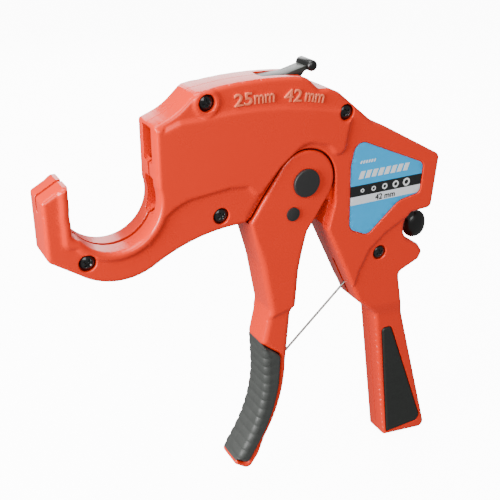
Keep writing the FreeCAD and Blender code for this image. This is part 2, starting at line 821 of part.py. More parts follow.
def main():
    os.makedirs("parts", exist_ok=True)
    half = housing_half()
    write("left_housing", left_housing(half))
    write("right_housing", right_housing(half))
    write("housing_screws", housing_screws())
    write("housing_nuts", housing_nuts())
    write("inlay_screws", inlay_screws())
    write("right_label", label())
    write("left_label", mirrored(label()))
    write("right_inlay", grip_inlay())
    write("left_inlay", mirrored(grip_inlay()))
    carriage = blade_carriage()
    write("blade", blade())
    write("blade_rivets", blade_rivets())
    write("blade_carriage", carriage)
    write("carriage_knob", carriage_knob(carriage))
    rubber = rubber_shell()
    write("front_lever", front_lever(rubber))
    write("lever_grip", rubber)
    write("main_pivot_pin", main_pivot_pin())
    write("pivot_clip", pivot_clip())
    write("pivot_washers", pivot_washers())
    write("lever_link_pin", lever_link_pin())
    write("drive_plates", drive_plates())
    write("drive_pawl_pin", drive_pawl_pin())
    write("drive_pawl", drive_pawl())
    write("drive_pawl_spring", drive_pawl_spring())
    write("hold_pawl", hold_pawl())
    write("hold_pawl_nose", hold_pawl_nose())
    write("thumb_bar", thumb_bar())
    write("hold_pawl_pin", hold_pawl_pin())
    write("hold_pawl_spring", hold_pawl_spring())
    write("lever_return_spring", lever_return_spring())
    write("return_spring_pin", return_spring_pin())


main()
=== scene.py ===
# %% [markdown]
# # Ratchet pipe cutter
# This hand tool cuts plastic pipe. It has two cast halves of a housing, a cast front lever, a curved blade that
# a ratchet feeds forward, and the small parts that hold them together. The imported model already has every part
# at its real size and on the body it moves with, so here we only give the parts their true surfaces. A casting
# could be shaped by hand with modifiers, but soft edges, sunk pockets and raised ribs are easier to control as
# thickness maps: numbers that say how thick the metal is at each point of an outline.

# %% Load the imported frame
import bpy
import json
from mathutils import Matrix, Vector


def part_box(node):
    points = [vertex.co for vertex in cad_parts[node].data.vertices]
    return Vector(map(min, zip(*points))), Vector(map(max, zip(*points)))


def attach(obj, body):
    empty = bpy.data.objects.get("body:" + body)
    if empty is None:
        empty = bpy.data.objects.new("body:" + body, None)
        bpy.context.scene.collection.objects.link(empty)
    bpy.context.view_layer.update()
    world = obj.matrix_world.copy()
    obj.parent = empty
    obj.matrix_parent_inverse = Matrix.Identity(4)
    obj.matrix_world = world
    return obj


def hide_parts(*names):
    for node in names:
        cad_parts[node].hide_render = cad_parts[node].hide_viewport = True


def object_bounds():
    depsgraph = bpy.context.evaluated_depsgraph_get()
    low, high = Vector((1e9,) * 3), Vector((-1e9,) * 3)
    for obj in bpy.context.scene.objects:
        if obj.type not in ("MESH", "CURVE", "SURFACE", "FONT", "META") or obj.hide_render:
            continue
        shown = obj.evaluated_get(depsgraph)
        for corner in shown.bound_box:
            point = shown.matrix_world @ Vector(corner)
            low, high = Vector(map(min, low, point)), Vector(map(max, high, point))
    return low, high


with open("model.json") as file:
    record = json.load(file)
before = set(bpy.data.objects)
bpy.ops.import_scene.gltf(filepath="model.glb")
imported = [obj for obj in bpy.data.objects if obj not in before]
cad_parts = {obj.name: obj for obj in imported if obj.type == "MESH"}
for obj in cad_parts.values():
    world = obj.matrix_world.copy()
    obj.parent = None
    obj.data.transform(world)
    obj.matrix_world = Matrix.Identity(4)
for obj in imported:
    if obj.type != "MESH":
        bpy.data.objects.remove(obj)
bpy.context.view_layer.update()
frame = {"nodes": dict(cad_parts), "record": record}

# %% Import the tools
import json
import math

import bmesh
import bpy
import numpy as np
from mathutils import Vector, geometry, kdtree

MM = 0.001
nodes = frame["nodes"]


def add_to_scene(thing):
    """Links a new object to the scene, which makes it visible, and gives it back."""
    bpy.context.scene.collection.objects.link(thing)
    return thing


# %% [markdown]
# ## Outlines
# Everything on a casting is placed from its edge: the rounding, the pockets, the screw holes. We could type the
# outline in again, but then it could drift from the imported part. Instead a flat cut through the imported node, made
# with `bmesh.ops.bisect_plane`, gives its closed outlines at any depth. The small functions after it measure from
# those outlines: which points are inside, how far away the edge is, and which way is inward.


# %% Cut a node into outlines
def node_outlines(node, depth, smallest=6.0):
    """Closed outlines, in mm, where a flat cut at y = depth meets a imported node, longest first."""
    mesh = bmesh.new()
    mesh.from_mesh(nodes[node].data)
    bmesh.ops.remove_doubles(mesh, verts=mesh.verts, dist=1e-6)
    everything = mesh.verts[:] + mesh.edges[:] + mesh.faces[:]
    cut = bmesh.ops.bisect_plane(
        mesh, geom=everything, dist=1e-7, plane_co=(0, depth * MM, 0), plane_no=(0, 1, 0)
    )
    links = {}
    for edge in cut["geom_cut"]:
        if isinstance(edge, bmesh.types.BMEdge):
            a, b = edge.verts
            links.setdefault(a, []).append(b)
            links.setdefault(b, []).append(a)
    found, seen = [], set()
    for start in links:
        if start in seen:
            continue
        chain = [start]
        seen.add(start)
        while True:
            after = [v for v in links[chain[-1]] if v not in seen]
            if not after:
                break
            chain.append(after[0])
            seen.add(after[0])
        outline = np.array([(v.co.x, v.co.z) for v in chain]) / MM
        if np.ptp(outline, axis=0).max() > smallest:
            found.append(outline)
    mesh.free()
    return sorted(found, key=lambda o: -len(o))


print("points in a cut 6 mm deep:", [len(o) for o in node_outlines("left_housing", -6.0)])


# %% Measure from an outline
def divide(outline, step, closed=True):
    """The same line with points no further apart than step."""
    points = []
    ends = np.roll(outline, -1, 0) if closed else outline[1:]
    for a, b in zip(outline, ends):
        n = max(1, math.ceil(np.linalg.norm(b - a) / step))
        points.extend(a + (b - a) * i / n for i in range(n))
    if not closed:
        points.append(outline[-1])
    return np.array(points)


def within(points, outline):
    """Which points lie inside a closed outline."""
    x, z = points[:, 0], points[:, 1]
    inside = np.zeros(len(points), bool)
    for (x0, z0), (x1, z1) in zip(outline, np.roll(outline, -1, 0)):
        if z0 != z1:
            crosses = (z0 > z) != (z1 > z)
            inside ^= crosses & (x < (x1 - x0) * (z - z0) / (z1 - z0) + x0)
    return inside


def within_any(points, outlines):
    """Which points lie inside an odd number of the outlines."""
    inside = np.zeros(len(points), bool)
    for outline in outlines:
        inside ^= within(points, outline)
    return inside


def distance(points, line, closed=True):
    """Distance from each point to a line."""
    a = line if closed else line[:-1]
    b = np.roll(line, -1, 0) if closed else line[1:]
    run = b - a
    square = (run ** 2).sum(1) + 1e-12
    result = np.empty(len(points))
    for i in range(0, len(points), 1500):
        off = points[i:i + 1500, None, :] - a
        t = np.clip((off * run).sum(2) / square, 0, 1)
        result[i:i + 1500] = np.sqrt(((off - t[..., None] * run) ** 2).sum(2).min(1))
    return result


def from_edge(points, outline):
    """Distance to a closed outline, exactly 0 on it."""
    gap = distance(points, outline)
    return np.where(gap < 1e-4, 0.0, gap)


SAMPLE = np.array([(0.0, 0.0), (10.0, 0.0), (10.0, 10.0), (0.0, 10.0)])
print("middle of a 10 mm square to its edge:", distance(np.array([(5.0, 5.0)]), SAMPLE)[0], "mm")


# %% Move, blend and offset
def nudged(points, outline, inward, reach=0.3):
    """Points near a closed outline, moved to reach inside it, so that maps are read clear of the edge."""
    a, b = outline, np.roll(outline, -1, 0)
    run = b - a
    square = (run ** 2).sum(1) + 1e-12
    result = points.copy()
    for i in range(0, len(points), 1500):
        block = points[i:i + 1500]
        off = block[:, None, :] - a
        t = np.clip((off * run).sum(2) / square, 0, 1)
        gap = ((off - t[..., None] * run) ** 2).sum(2)
        pick = gap.argmin(1)
        row = np.arange(len(block))
        foot = a[pick] + t[row, pick][:, None] * run[pick]
        away = block - foot
        far = np.linalg.norm(away, axis=1)
        on_edge = far < 1e-3
        away = np.where(on_edge[:, None], inward[i:i + 1500], away / np.maximum(far, 1e-9)[:, None])
        close = far < reach
        result[i:i + 1500] = np.where(close[:, None], foot + reach * away, block)
    return result


def depth_in(points, outline):
    """Distance to a closed outline, negative outside it."""
    return np.where(within(points, outline), 1.0, -1.0) * distance(points, outline)


def ease(value, low, high):
    """0 below low, 1 above high and smooth in between."""
    t = np.clip((value - low) / (high - low), 0, 1)
    return t * t * (3 - 2 * t)


def normals(outline):
    """Unit normals of a closed line, to one side."""
    run = np.roll(outline, -1, 0) - np.roll(outline, 1, 0)
    length = np.linalg.norm(run, axis=1) + 1e-9
    return np.column_stack((-run[:, 1], run[:, 0])) / length[:, None]


def ring(outline, offset, step=0.8):
    """Points at a fixed distance from a closed line, on both sides for a positive offset."""
    line = divide(outline, step)
    side = normals(line) * offset
    points = np.vstack((line + side, line - side))
    return points[distance(points, outline) > 0.93 * offset]


print("points 1 mm from the square's edge:", len(ring(SAMPLE, 1.0)))

# %% [markdown]
# ## Thickness maps
# Each half of a casting has one outer face and one inner face. We lay a flat sheet of triangles over the outline,
# lift one copy to the outer face and one to the inner face, and join them with walls. The result is one closed
# shell, as a real casting is. A boolean cut for each pocket would also work, but it leaves hard edges that are
# slow to round. Points are packed closer together where the surface bends, and spaced out where it is flat.


# %% Choose the points and join them
def spread(groups, gap):
    """Joins groups of points, leaving out those closer than gap to a point of an earlier group."""
    kept = [groups[0]]
    for group in groups[1:]:
        if not len(group):
            continue
        earlier = np.vstack(kept)
        tree = kdtree.KDTree(len(earlier))
        for i, p in enumerate(earlier):
            tree.insert((p[0], p[1], 0), i)
        tree.balance()
        free = [p for p in group if tree.find((p[0], p[1], 0))[2] > gap]
        if free:
            kept.append(np.array(free))
    return np.vstack(kept)


def triangulate(outlines, extra, step=1.0):
    """Triangles over the region inside the outlines, through all the extra points."""
    corners, edges = [], []
    for outline in outlines:
        line = divide(outline, step)
        first = len(corners)
        corners.extend(line)
        edges += [(first + i, first + (i + 1) % len(line)) for i in range(len(line))]
    points = [Vector(p) for p in corners] + [Vector(p) for p in extra]
    places, _, faces, _, _, _ = geometry.delaunay_2d_cdt(points, edges, [], 1, 1e-5)
    places = np.array([(p.x, p.y) for p in places])
    faces = np.array(faces)
    if len(outlines) > 1:
        faces = faces[within_any(places[faces].mean(1), outlines)]
    a, b, c = places[faces[:, 0]], places[faces[:, 1]], places[faces[:, 2]]
    area = (b - a)[:, 0] * (c - a)[:, 1] - (b - a)[:, 1] * (c - a)[:, 0]
    faces[area < 0] = faces[area < 0][:, ::-1]
    return places, faces


print("triangles over the square:", len(triangulate([SAMPLE], np.empty((0, 2)))[1]))


# %% Lift a sheet into a closed shell
def rim_of(places, faces):
    """Directed edges round the triangles, and the inward direction at each rim point."""
    edges = {}
    for f in faces:
        for i in range(3):
            edges[(f[i], f[(i + 1) % 3])] = True
    rim = [(a, b) for a, b in edges if (b, a) not in edges]
    inward = np.zeros_like(places)
    for a, b in rim:
        run = places[b] - places[a]
        side = np.array((-run[1], run[0])) / (np.linalg.norm(run) + 1e-9)
        inward[a] += side
        inward[b] += side
    length = np.linalg.norm(inward, axis=1)
    inward[length > 0] /= length[length > 0][:, None]
    return rim, inward


def shell(outlines, extra, outer, inner, side, seam=0.25, step=1.0):
    """Vertices and faces of a closed casting half; side is -1 for the face towards -Y, 1 for the other."""
    places, faces = triangulate(outlines, extra, step)
    rim, inward = rim_of(places, faces)
    on_rim = np.zeros(len(places), bool)
    on_rim[[a for a, b in rim]] = True
    high = outer(places, places + 0.06 * inward)
    low = inner(nudged(places, outlines[0], inward))
    count = len(places)
    verts = np.zeros((3 * count, 3))
    verts[:count] = np.column_stack((places[:, 0], side * high, places[:, 1]))
    middle = low + seam * on_rim
    verts[count:2 * count] = np.column_stack((places[:, 0], side * middle, places[:, 1]))
    inset = places + seam * inward
    verts[2 * count:] = np.column_stack((inset[:, 0], side * low, inset[:, 1]))
    flip = side > 0
    polygons = [tuple(f[::-1]) if flip else tuple(f) for f in faces]
    polygons += [tuple(2 * count + f) if flip else tuple(2 * count + f[::-1]) for f in faces]
    for a, b in rim:
        for lift in (0, count):
            wall = (b + lift, a + lift, a + lift + count, b + lift + count)
            polygons.append(wall[::-1] if flip else wall)
    return verts, polygons


slab = shell([SAMPLE], SAMPLE[:0], lambda places, probe: places[:, 0] * 0 + 2, lambda p: p[:, 0] * 0, -1)
print("a 2 mm slab over the square:", len(slab[0]), "points and", len(slab[1]), "faces")


# %% Build the object
CREASE_ANGLE = 32.0


def clean(mesh):
    """Drops loose points, joins points that coincide and turns every face outwards."""
    work = bmesh.new()
    work.from_mesh(mesh)
    loose = [v for v in work.verts if not v.link_faces]
    bmesh.ops.delete(work, geom=loose, context="VERTS")
    bmesh.ops.remove_doubles(work, verts=work.verts, dist=2e-6)
    bmesh.ops.recalc_face_normals(work, faces=work.faces)
    work.to_mesh(mesh)
    work.free()


def build(name, verts, polygons, sharp=CREASE_ANGLE):
    """One smooth-shaded object, with creases kept where faces meet at more than sharp degrees."""
    mesh = bpy.data.meshes.new(name)
    mesh.from_pydata([tuple(v * MM) for v in verts], [], [tuple(int(i) for i in p) for p in polygons])
    clean(mesh)
    mesh.shade_smooth()
    mesh.set_sharp_from_angle(angle=math.radians(sharp))
    return add_to_scene(bpy.data.objects.new(name, mesh))


print("edges stay crisp above", CREASE_ANGLE, "degrees")


# %% Round an edge and fill an area
def rounded(places_depth, radius):
    """How far a rounded edge drops below the face, at each distance from the edge."""
    t = np.clip(1 - places_depth / radius, 0, 1)
    return radius * (1 - np.sqrt(1 - t * t))


def lattice(outlines, pitch):
    """Even points over the region inside the outlines."""
    every = np.vstack(outlines)
    xs = np.arange(every[:, 0].min(), every[:, 0].max(), pitch)
    zs = np.arange(every[:, 1].min(), every[:, 1].max(), pitch * 0.87)
    rows = []
    for i, z in enumerate(zs):
        shifted = xs + (pitch / 2 if i % 2 else 0)
        rows.append(np.column_stack((shifted, np.full(len(xs), z))))
    return np.vstack(rows)


def inside_only(points, outlines, margin):
    """The points that lie inside the outlines and at least margin from them."""
    points = points[within_any(points, outlines)]
    far = np.min([distance(points, o) for o in outlines], axis=0)
    return points[far > margin]


drops = rounded(np.array([0.0, 0.5, 1.0, 2.0]), 2.0)
print("a 2 mm rounded edge drops", drops.round(2), "mm at 0, 0.5, 1 and 2 mm from the edge")

# %% [markdown]
# ## Housing halves
# The housing is die cast in two halves that meet at y = 0. Its head is 10.5 mm thick each side of that plane and
# its rear grip 8.3 mm. The side over the blade channel is raised, and so is the ring round the front screw. Sunk
# into the metal are the screw counterbores, the pockets for the label and the inlay, and the recess that the
# lever's cheek swings in. Behind the label the surface steps down along a curved crease. Adding and subtracting
# smooth steps on one height value keeps all these features blended into each other, as metal in a mould is.

# %% Heights and the crease
HEAD, GRIP, RECESS, BULGE = 10.5, 8.3, 7.0, 11.9
STEP_DOWN = 0.8
HOLE_FLOOR, LABEL_FLOOR, INLAY_FLOOR = 7.9, 9.7, 6.7
EDGE_R, SMALL_R = 2.1, 0.8
GROOVE = np.array([
    (168.5, -36.5), (164.9, -37.7), (153.1, -43.8), (143.0, -52.0), (136.9, -64.1), (134.5, -72.0), (130.5, -86.0)
])
print("crease length:", round(np.linalg.norm(np.diff(GROOVE, axis=0), axis=1).sum(), 1), "mm")


# %% Tell the two sides of a crease apart
def side_of(points, line):
    """Signed distance to an open line: positive to its right, looking along it."""
    near = distance(points, line, closed=False)
    a, b = line[:-1], line[1:]
    run = b - a
    off = points[:, None, :] - a
    t = np.clip((off * run).sum(2) / (run ** 2).sum(1), 0, 1)
    gap = ((off - t[..., None] * run) ** 2).sum(2)
    pick = gap.argmin(1)
    chosen = off[np.arange(len(points)), pick]
    cross = run[pick, 0] * chosen[:, 1] - run[pick, 1] * chosen[:, 0]
    return -np.sign(cross) * near


print("the label's middle is", side_of(np.array([(150.0, -20.0)]), GROOVE).round(1), "mm from the crease")


# %% Make both housing halves
def housing_half(node, name, side):
    """One cast half of the housing, with its raised and sunk areas."""
    # Each cut is taken at a depth where the feature it is for shows on its own.
    body = node_outlines(node, side * 6.0)[0]
    thick = node_outlines(node, side * 9.0)
    head, holes = thick[0], [o for o in thick[1:] if np.ptp(o[:, 0]) < 12]
    label = [o for o in node_outlines(node, side * 10.3) if 40 < np.ptp(o[:, 0]) < 60][0]
    inlay = [o for o in node_outlines(node, side * 7.6) if 30 < np.ptp(o[:, 0]) < 40][0]
    bulge = node_outlines(node, side * 11.2)[0]
    channel = node_outlines(node, side * 3.0)
    slit = node_outlines(node, side * 0.5)
    recess = divide(head, 0.8)
    recess = recess[(distance(recess, body) > 0.2) & (recess[:, 1] > -80)]
    boss = np.array((46.6, 43.1))

    def outer(places, probe):
        edge = from_edge(places, body)
        in_head = within(probe, head) | (probe[:, 1] < -80)
        crease = STEP_DOWN * ease(-side_of(probe, GROOVE), -0.5, 1.5)
        stepped = HEAD - crease * ease(-probe[:, 1], 34.5, 38.5)
        height = GRIP + (stepped - GRIP) * ease(probe[:, 1] + 0.1 * (probe[:, 0] - 150), -98.5, -88.0)
        height += (BULGE - HEAD) * ease(depth_in(probe, bulge), -1.5, 1.3)
        ring_gap = np.linalg.norm(probe - boss, axis=1)
        height += 0.9 * ease(-ring_gap, -7.4, -5.8)
        for hole in holes:
            into = depth_in(probe, hole)
            height = np.where(into > 0, HOLE_FLOOR, height - rounded(-into, 0.6))
        into = depth_in(probe, label)
        height = np.where(into > 0, LABEL_FLOOR, height - rounded(-into, 0.45))
        into = depth_in(probe, inlay)
        height = np.where(into > 0, INLAY_FLOOR, height - rounded(-into, 0.45))
        from_recess = distance(probe, recess, closed=False)
        wide = ease(-probe[:, 0], -93, -74)
        bevel = 0.62 * np.clip(3.4 * wide - from_recess, 0, None)
        height = np.where(in_head, height - np.maximum(bevel, rounded(from_recess, SMALL_R)), RECESS)
        edge_r = np.where(in_head, EDGE_R, SMALL_R)
        return height - rounded(edge, edge_r)

    def inner(probe):
        deep = ~within_any(probe, channel)
        thin = ~within_any(probe, slit)
        return np.where(deep, 5.0, np.where(thin, 0.95, 0.0))

    steps = [EDGE_R * (1 - math.cos(math.radians(a))) for a in (18, 32, 46, 60, 76, 90)]
    sharp = [head] + holes + [label, inlay] + channel + slit
    groups = [np.vstack([inside_only(ring(o, 0.04, 0.7), [body], 0.15) for o in sharp])]
    groups += [inside_only(ring(o, 0.45, 0.9), [body], 0.15) for o in [head, label, inlay] + holes]
    groups += [inside_only(ring(body, s), [body], 0.6 * s) for s in steps]
    groups += [inside_only(ring(bulge, s), [body], 0.3) for s in (0.3, 0.75, 1.3)]
    groups += [inside_only(ring(head, s), [body], 0.3) for s in (0.8, 1.3, 2.1, 3.0)]
    groups += [inside_only(ring(o, s), [body], 0.3) for o in holes for s in (0.9, 1.7, 2.5)]
    groove = divide(GROOVE, 1.0, closed=False)
    for lift in (-1.2, -0.8, -0.4, 0.0, 0.5):
        groups.append(inside_only(groove + np.array((-lift, 0.6 * lift)), [body], 0.5))
    groups.append(inside_only(lattice([body], 1.7), [body], 0.8))
    verts, polygons = shell([body], spread(groups, 0.22), outer, inner, side)
    piece = build(name, verts, polygons)
    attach(piece, "housing")
    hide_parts(node)
    return piece


left_half = housing_half("left_housing", "left_casting", -1)
right_half = housing_half("right_housing", "right_casting", 1)
print("housing halves:", len(left_half.data.vertices), "and", len(right_half.data.vertices), "points")

# %% [markdown]
# ## Front lever
# The lever is one casting: a fork whose two cheeks hug the housing, then a neck, then a handle that is slimmer
# below a slanted step. Its edges are rounder at the handle than at the cheeks, because a hand closes on it. It
# uses the same thickness map as the housing, made twice and mirrored, and the two halves are welded into one.

# %% Make the front lever
STEP_LINE = np.array([(74.0, -80.9), (80.0, -79.7), (90.0, -77.4), (99.0, -75.2)])


def lever_half(side):
    """Vertices and faces of one half of the lever."""
    body = node_outlines("front_lever", side * 9.0)[0]
    neck = node_outlines("front_lever", side * 6.0)[0]
    core = node_outlines("front_lever", side * 0.5)[0]

    def outer(places, probe):
        edge = from_edge(places, body)
        height = HEAD - 0.9 * ease(side_of(probe, STEP_LINE), -1.2, 1.8)
        radius = 1.5 + 1.6 * ease(-probe[:, 1], 25, 45)
        return height - rounded(edge, radius)

    def inner(probe):
        open_fork = ~within(probe, neck)
        open_groove = ~within(probe, core)
        return np.where(open_fork, 7.3, np.where(open_groove, 1.2, 0.0))

    groups = [np.vstack([inside_only(ring(o, 0.04, 0.7), [body], 0.15) for o in (neck, core)])]
    steps = [3.1 * (1 - math.cos(math.radians(a))) for a in (16, 28, 40, 52, 64, 77, 90)]
    groups += [inside_only(ring(body, s), [body], 0.6 * s) for s in steps]
    step_line = divide(STEP_LINE, 1.0, closed=False)
    for lift in (-1.2, -0.6, 0.0, 0.6, 1.2, 1.8):
        groups.append(inside_only(step_line - np.array((0.0, lift)), [body], 0.5))
    groups.append(inside_only(lattice([body], 1.6), [body], 0.8))
    return shell([body], spread(groups, 0.22), outer, inner, side, seam=0.05)


def two_sided(name, half):
    """Joins the two mirrored halves of a one-piece part."""
    left_verts, left_faces = half(-1)
    right_verts, right_faces = half(1)
    shift = len(left_verts)
    faces = left_faces + [tuple(i + shift for i in f) for f in right_faces]
    return build(name, np.vstack((left_verts, right_verts)), faces)


lever = two_sided("lever_casting", lever_half)
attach(lever, "lever")
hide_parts("front_lever")
print("front lever:", len(lever.data.vertices), "points")

# %% [markdown]
# ## Lever rubber
# A moulded rubber sleeve covers the front of the handle. Shallow ribs run across it and fade towards the back.
# A bump texture would only shade them and leave the outline smooth, so the ribs are real waves in the mesh: they
# follow the distance along the front line, and both the side faces and the outline read the same wave.

# %% Make the ribbed sleeve
RIB_PITCH = 5.4


def rubber_half(side):
    """Vertices and faces of one half of the ribbed sleeve."""
    body = node_outlines("lever_grip", side * 9.0)[0]
    line = divide(body, 0.5)
    top, foot = line[line[:, 1].argmax()], line[line[:, 1].argmin()]
    front = np.array([
        (77.7, -94.0), (78.5, -113.0), (78.0, -124.0), (75.0, -139.0), (70.0, -152.0), (61.0, -172.0)
    ])

    def along(points):
        run = np.linalg.norm(np.diff(front, axis=0), axis=1)
        start = np.concatenate(([0], np.cumsum(run)))[:-1]
        step = np.diff(front, axis=0)
        off = points[:, None, :] - front[:-1]
        t = np.clip((off * step).sum(2) / (step ** 2).sum(1), 0, 1)
        pick = ((off - t[..., None] * step) ** 2).sum(2).argmin(1)
        index = np.arange(len(points))
        return start[pick] + t[index, pick] * run[pick]

    way = along(line)
    bump = 0.5 * (1 - np.abs(np.sin(np.pi * way / RIB_PITCH)) ** 0.5)
    is_front = distance(line, front, closed=False) < 2.5
    inward = normals(line)
    if not within(line[:1] + 0.2 * inward[:1], body)[0]:
        inward = -inward
    line = line + inward * (bump * is_front * ease(way, 3, 8))[:, None]

    def outer(places, probe):
        edge = from_edge(places, line)
        frontal = ease(-distance(probe, front, closed=False), -8.0, -2.0)
        radius = 0.7 + 2.6 * frontal
        way_here = along(probe)
        groove = (1 - np.abs(np.sin(np.pi * way_here / RIB_PITCH)) ** 0.5) * ease(way_here, 3, 8)
        return HEAD - 0.15 - 0.4 * groove * (0.25 + 0.75 * frontal) - rounded(edge, radius)

    groups = [inside_only(ring(line, s, 0.5), [line], 0.6 * s) for s in (0.1, 0.3, 0.7, 1.3, 2.1, 3.2)]
    groups.append(inside_only(lattice([line], 0.9), [line], 0.5))
    print("sleeve from", top.round(1), "to", foot.round(1))
    return shell([line], spread(groups, 0.2), outer, lambda p: np.zeros(len(p)), side, seam=0.02, step=0.5)


sleeve = two_sided("lever_rubber", rubber_half)
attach(sleeve, "lever")
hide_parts("lever_grip")
print("lever rubber:", len(sleeve.data.vertices), "points")

# %% [markdown]
# ## Grip inlays
# A tapered rubber plate sits in a pocket in each side of the rear grip. Its edge is rounded and its face is
# finely cross-hatched so that it doesn't slip. The hatch is two crossed cosine waves added to the height, which
# needs a fine lattice of points, but the plate is small, so that stays cheap.


# %% Make the two inlays
def inlay_plate(node, name, side):
    """A thin rubber plate that fills its pocket."""
    body = node_outlines(node, side * 8.0)[0]

    def outer(places, probe):
        edge = from_edge(places, body)
        x, z = probe[:, 0], probe[:, 1]
        hatch = 0.07 * (np.cos(2 * np.pi * (x + z) / 1.5) + np.cos(2 * np.pi * (x - z) / 1.5))
        return 8.7 + hatch * ease(edge, 1.4, 2.0) - rounded(edge, 1.1)

    groups = [inside_only(ring(body, s, 0.5), [body], 0.6 * s) for s in (0.06, 0.2, 0.5, 0.8, 1.1, 1.5)]
    groups.append(inside_only(lattice([body], 0.42), [body], 1.6))
    verts, polygons = shell(
        [body], spread(groups, 0.2), outer, lambda p: np.full(len(p), 6.72), side, seam=0.1, step=0.5
    )
    piece = build(name, verts, polygons)
    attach(piece, "housing")
    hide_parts(node)
    return piece


inlays = [inlay_plate("left_inlay", "left_grip_inlay", -1), inlay_plate("right_inlay", "right_grip_inlay", 1)]
print("inlays:", [len(o.data.vertices) for o in inlays])

# %% [markdown]
# ## Screws
# Five blackened screws hold the halves together. Each head is a low dome with a cross recess that a driver fits
# in. On a real bench the heads never stop at the same angle, so each cross is turned by its own amount. A dome
# and a recess are again one height map, over a round outline, and a plain shank goes down through the housing.


# %% Round outlines and turned pieces
def disc(centre, radius, count=56):
    """A round outline."""
    turn = np.linspace(0, 2 * np.pi, count, endpoint=False)
    return np.column_stack((centre[0] + radius * np.cos(turn), centre[1] + radius * np.sin(turn)))


def wrap(rings, count):
    """Faces that join each ring of count points to the next ring."""
    faces = []
    for a in range(0, (rings - 1) * count, count):
        for i in range(count):
            j = (i + 1) % count
            faces.append((a + i, a + j, a + count + j, a + count + i))
    return faces


def lathe(name, centre, profile, count=56):
    """A round piece along Y from (y, radius) pairs, closed at both ends, all in mm."""
    verts = [(x, y, z) for y, radius in profile for x, z in disc(centre, max(radius, 0.001), count)]
    return build(name, np.array(verts), wrap(len(profile), count))


print("a disc has", len(disc((0.0, 0.0), 1.0)), "points")

# %% Make the five screws
SCREW_R = 3.6
SCREWS = [(46.6, 43.1), (123.9, 28.5), (53.2, -14.3), (-15.3, -24.4), (151.1, -55.6)]
CROSS_TURNS = [12, 40, 28, 55, 20]


def screw_head(centre, turn, recess, top):
    """Vertices and faces of a domed head with a cross recess."""
    body = disc(centre, SCREW_R)

    def outer(places, probe):
        off = places - np.array(centre)
        gap = np.linalg.norm(off, axis=1)
        height = top - 1.15 * (gap / SCREW_R) ** 2 - rounded(np.clip(SCREW_R - gap, 0, None), 0.5)
        angle = math.radians(turn)
        u = off[:, 0] * math.cos(angle) + off[:, 1] * math.sin(angle)
        v = off[:, 1] * math.cos(angle) - off[:, 0] * math.sin(angle)
        bars = [ease(-abs(p), -0.72, -0.34) * ease(-abs(q), -2.25, -1.55) for p, q in ((u, v), (v, u))]
        centre_dip = ease(-gap, -1.15, -0.5)
        return height - recess * np.maximum(np.maximum(*bars), centre_dip)

    extra = spread([inside_only(ring(body, s, 0.4), [body], 0.6 * s) for s in (0.06, 0.2, 0.45)]
                   + [inside_only(lattice([body], 0.22), [body], 0.55)], 0.1)
    return shell([body], extra, outer, lambda p: np.full(len(p), 8.1), -1, seam=0.02)


def join_parts(name, parts):
    """Several sets of vertices and faces as one object."""
    verts, faces = [], []
    for part_verts, part_faces in parts:
        shift = len(verts)
        verts.extend(part_verts)
        faces += [tuple(i + shift for i in f) for f in part_faces]
    return build(name, np.array(verts), faces)


def shank(centre, radius, y0, y1, count=32):
    """Vertices and faces of a plain round bar along Y."""
    rows = [disc(centre, radius * scale, count) for scale in (0.01, 1, 1, 0.01)]
    verts = [(x, y, z) for row, y in zip(rows, (y0, y0, y1, y1)) for x, z in row]
    return verts, wrap(len(rows), count)


SCREW_TOPS = [10.45] * 4 + [10.05]
parts = [screw_head(c, t, 0.95, top) for c, t, top in zip(SCREWS, CROSS_TURNS, SCREW_TOPS)]
parts += [shank(c, 2.0, -8.2, 9.8) for c in SCREWS]
screws = join_parts("cross_head_screws", parts)
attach(screws, "housing")
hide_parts("housing_screws")
print("five screws:", len(screws.data.vertices), "points")

# %% [markdown]
# ## Thumb bar
# The thumb lifts the holding pawl by a short cross bar on the top tab. It is a turned steel bar with rounded
# ends, so it is a profile spun round the Y axis.

# %% Turn the thumb bar
bar_profile = [(-7.0, 0.0), (-6.95, 1.0), (-6.7, 1.8), (-6.2, 2.4), (-5.4, 2.75), (5.4, 2.75)]
bar_profile += [(6.2, 2.4), (6.7, 1.8), (6.95, 1.0), (7.0, 0.0)]
thumb_bar = lathe("thumb_bar_rounded", (105.6, 53.0), bar_profile)
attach(thumb_bar, "hold_pawl")
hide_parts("thumb_bar")
print("thumb bar:", len(thumb_bar.data.vertices), "points")


# %% [markdown]
# ## Carriage knob
# The dark knob in the notch pulls the blade back open. It is moulded, an oval with soft corners. A sphere is too
# thin at its shoulders, so each direction is pushed out by a power a little under 1, which fills the corners.


# %% Mould the carriage knob
def egg(name, centre, radii, power=0.86, rows=36, columns=56):
    """A soft-cornered oval knob."""
    verts = []
    for r in range(rows + 1):
        tilt = math.pi * (r / rows - 0.5)
        for c in range(columns):
            turn = 2 * math.pi * c / columns
            way = (math.cos(tilt) * math.cos(turn), math.sin(tilt), math.cos(tilt) * math.sin(turn))
            soft = [math.copysign(abs(w) ** power, w) for w in way]
            verts.append([k + w * q for k, w, q in zip(centre, soft, radii)])
    return build(name, np.array(verts), wrap(rows + 1, columns), sharp=60)


knob_lo, knob_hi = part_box("carriage_knob")
knob_middle = [v / MM for v in (knob_lo + knob_hi) / 2]
knob = egg("carriage_knob_moulded", (knob_middle[0] + 1.6, 0.0, knob_middle[2] - 0.4), (7.0, 4.6, 8.0))
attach(knob, "carriage")
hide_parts("carriage_knob")
print("knob centre:", [round(v, 1) for v in knob_middle])

# %% [markdown]
# ## Return spring
# A steel wire is wound twice round its pin on each side, and one leg reaches forward to push the lever open. A
# curve object with a round bevel is the quickest way to draw wire: only its centre line has to be worked out.
# The leg leaves the coil along a tangent, as real wire does.

# %% Wind the return spring
SPRING_PIN, SPRING_TIP, COIL_R, WIRE_R = (141.0, -63.0), (91.5, -114.0), 4.5, 0.65


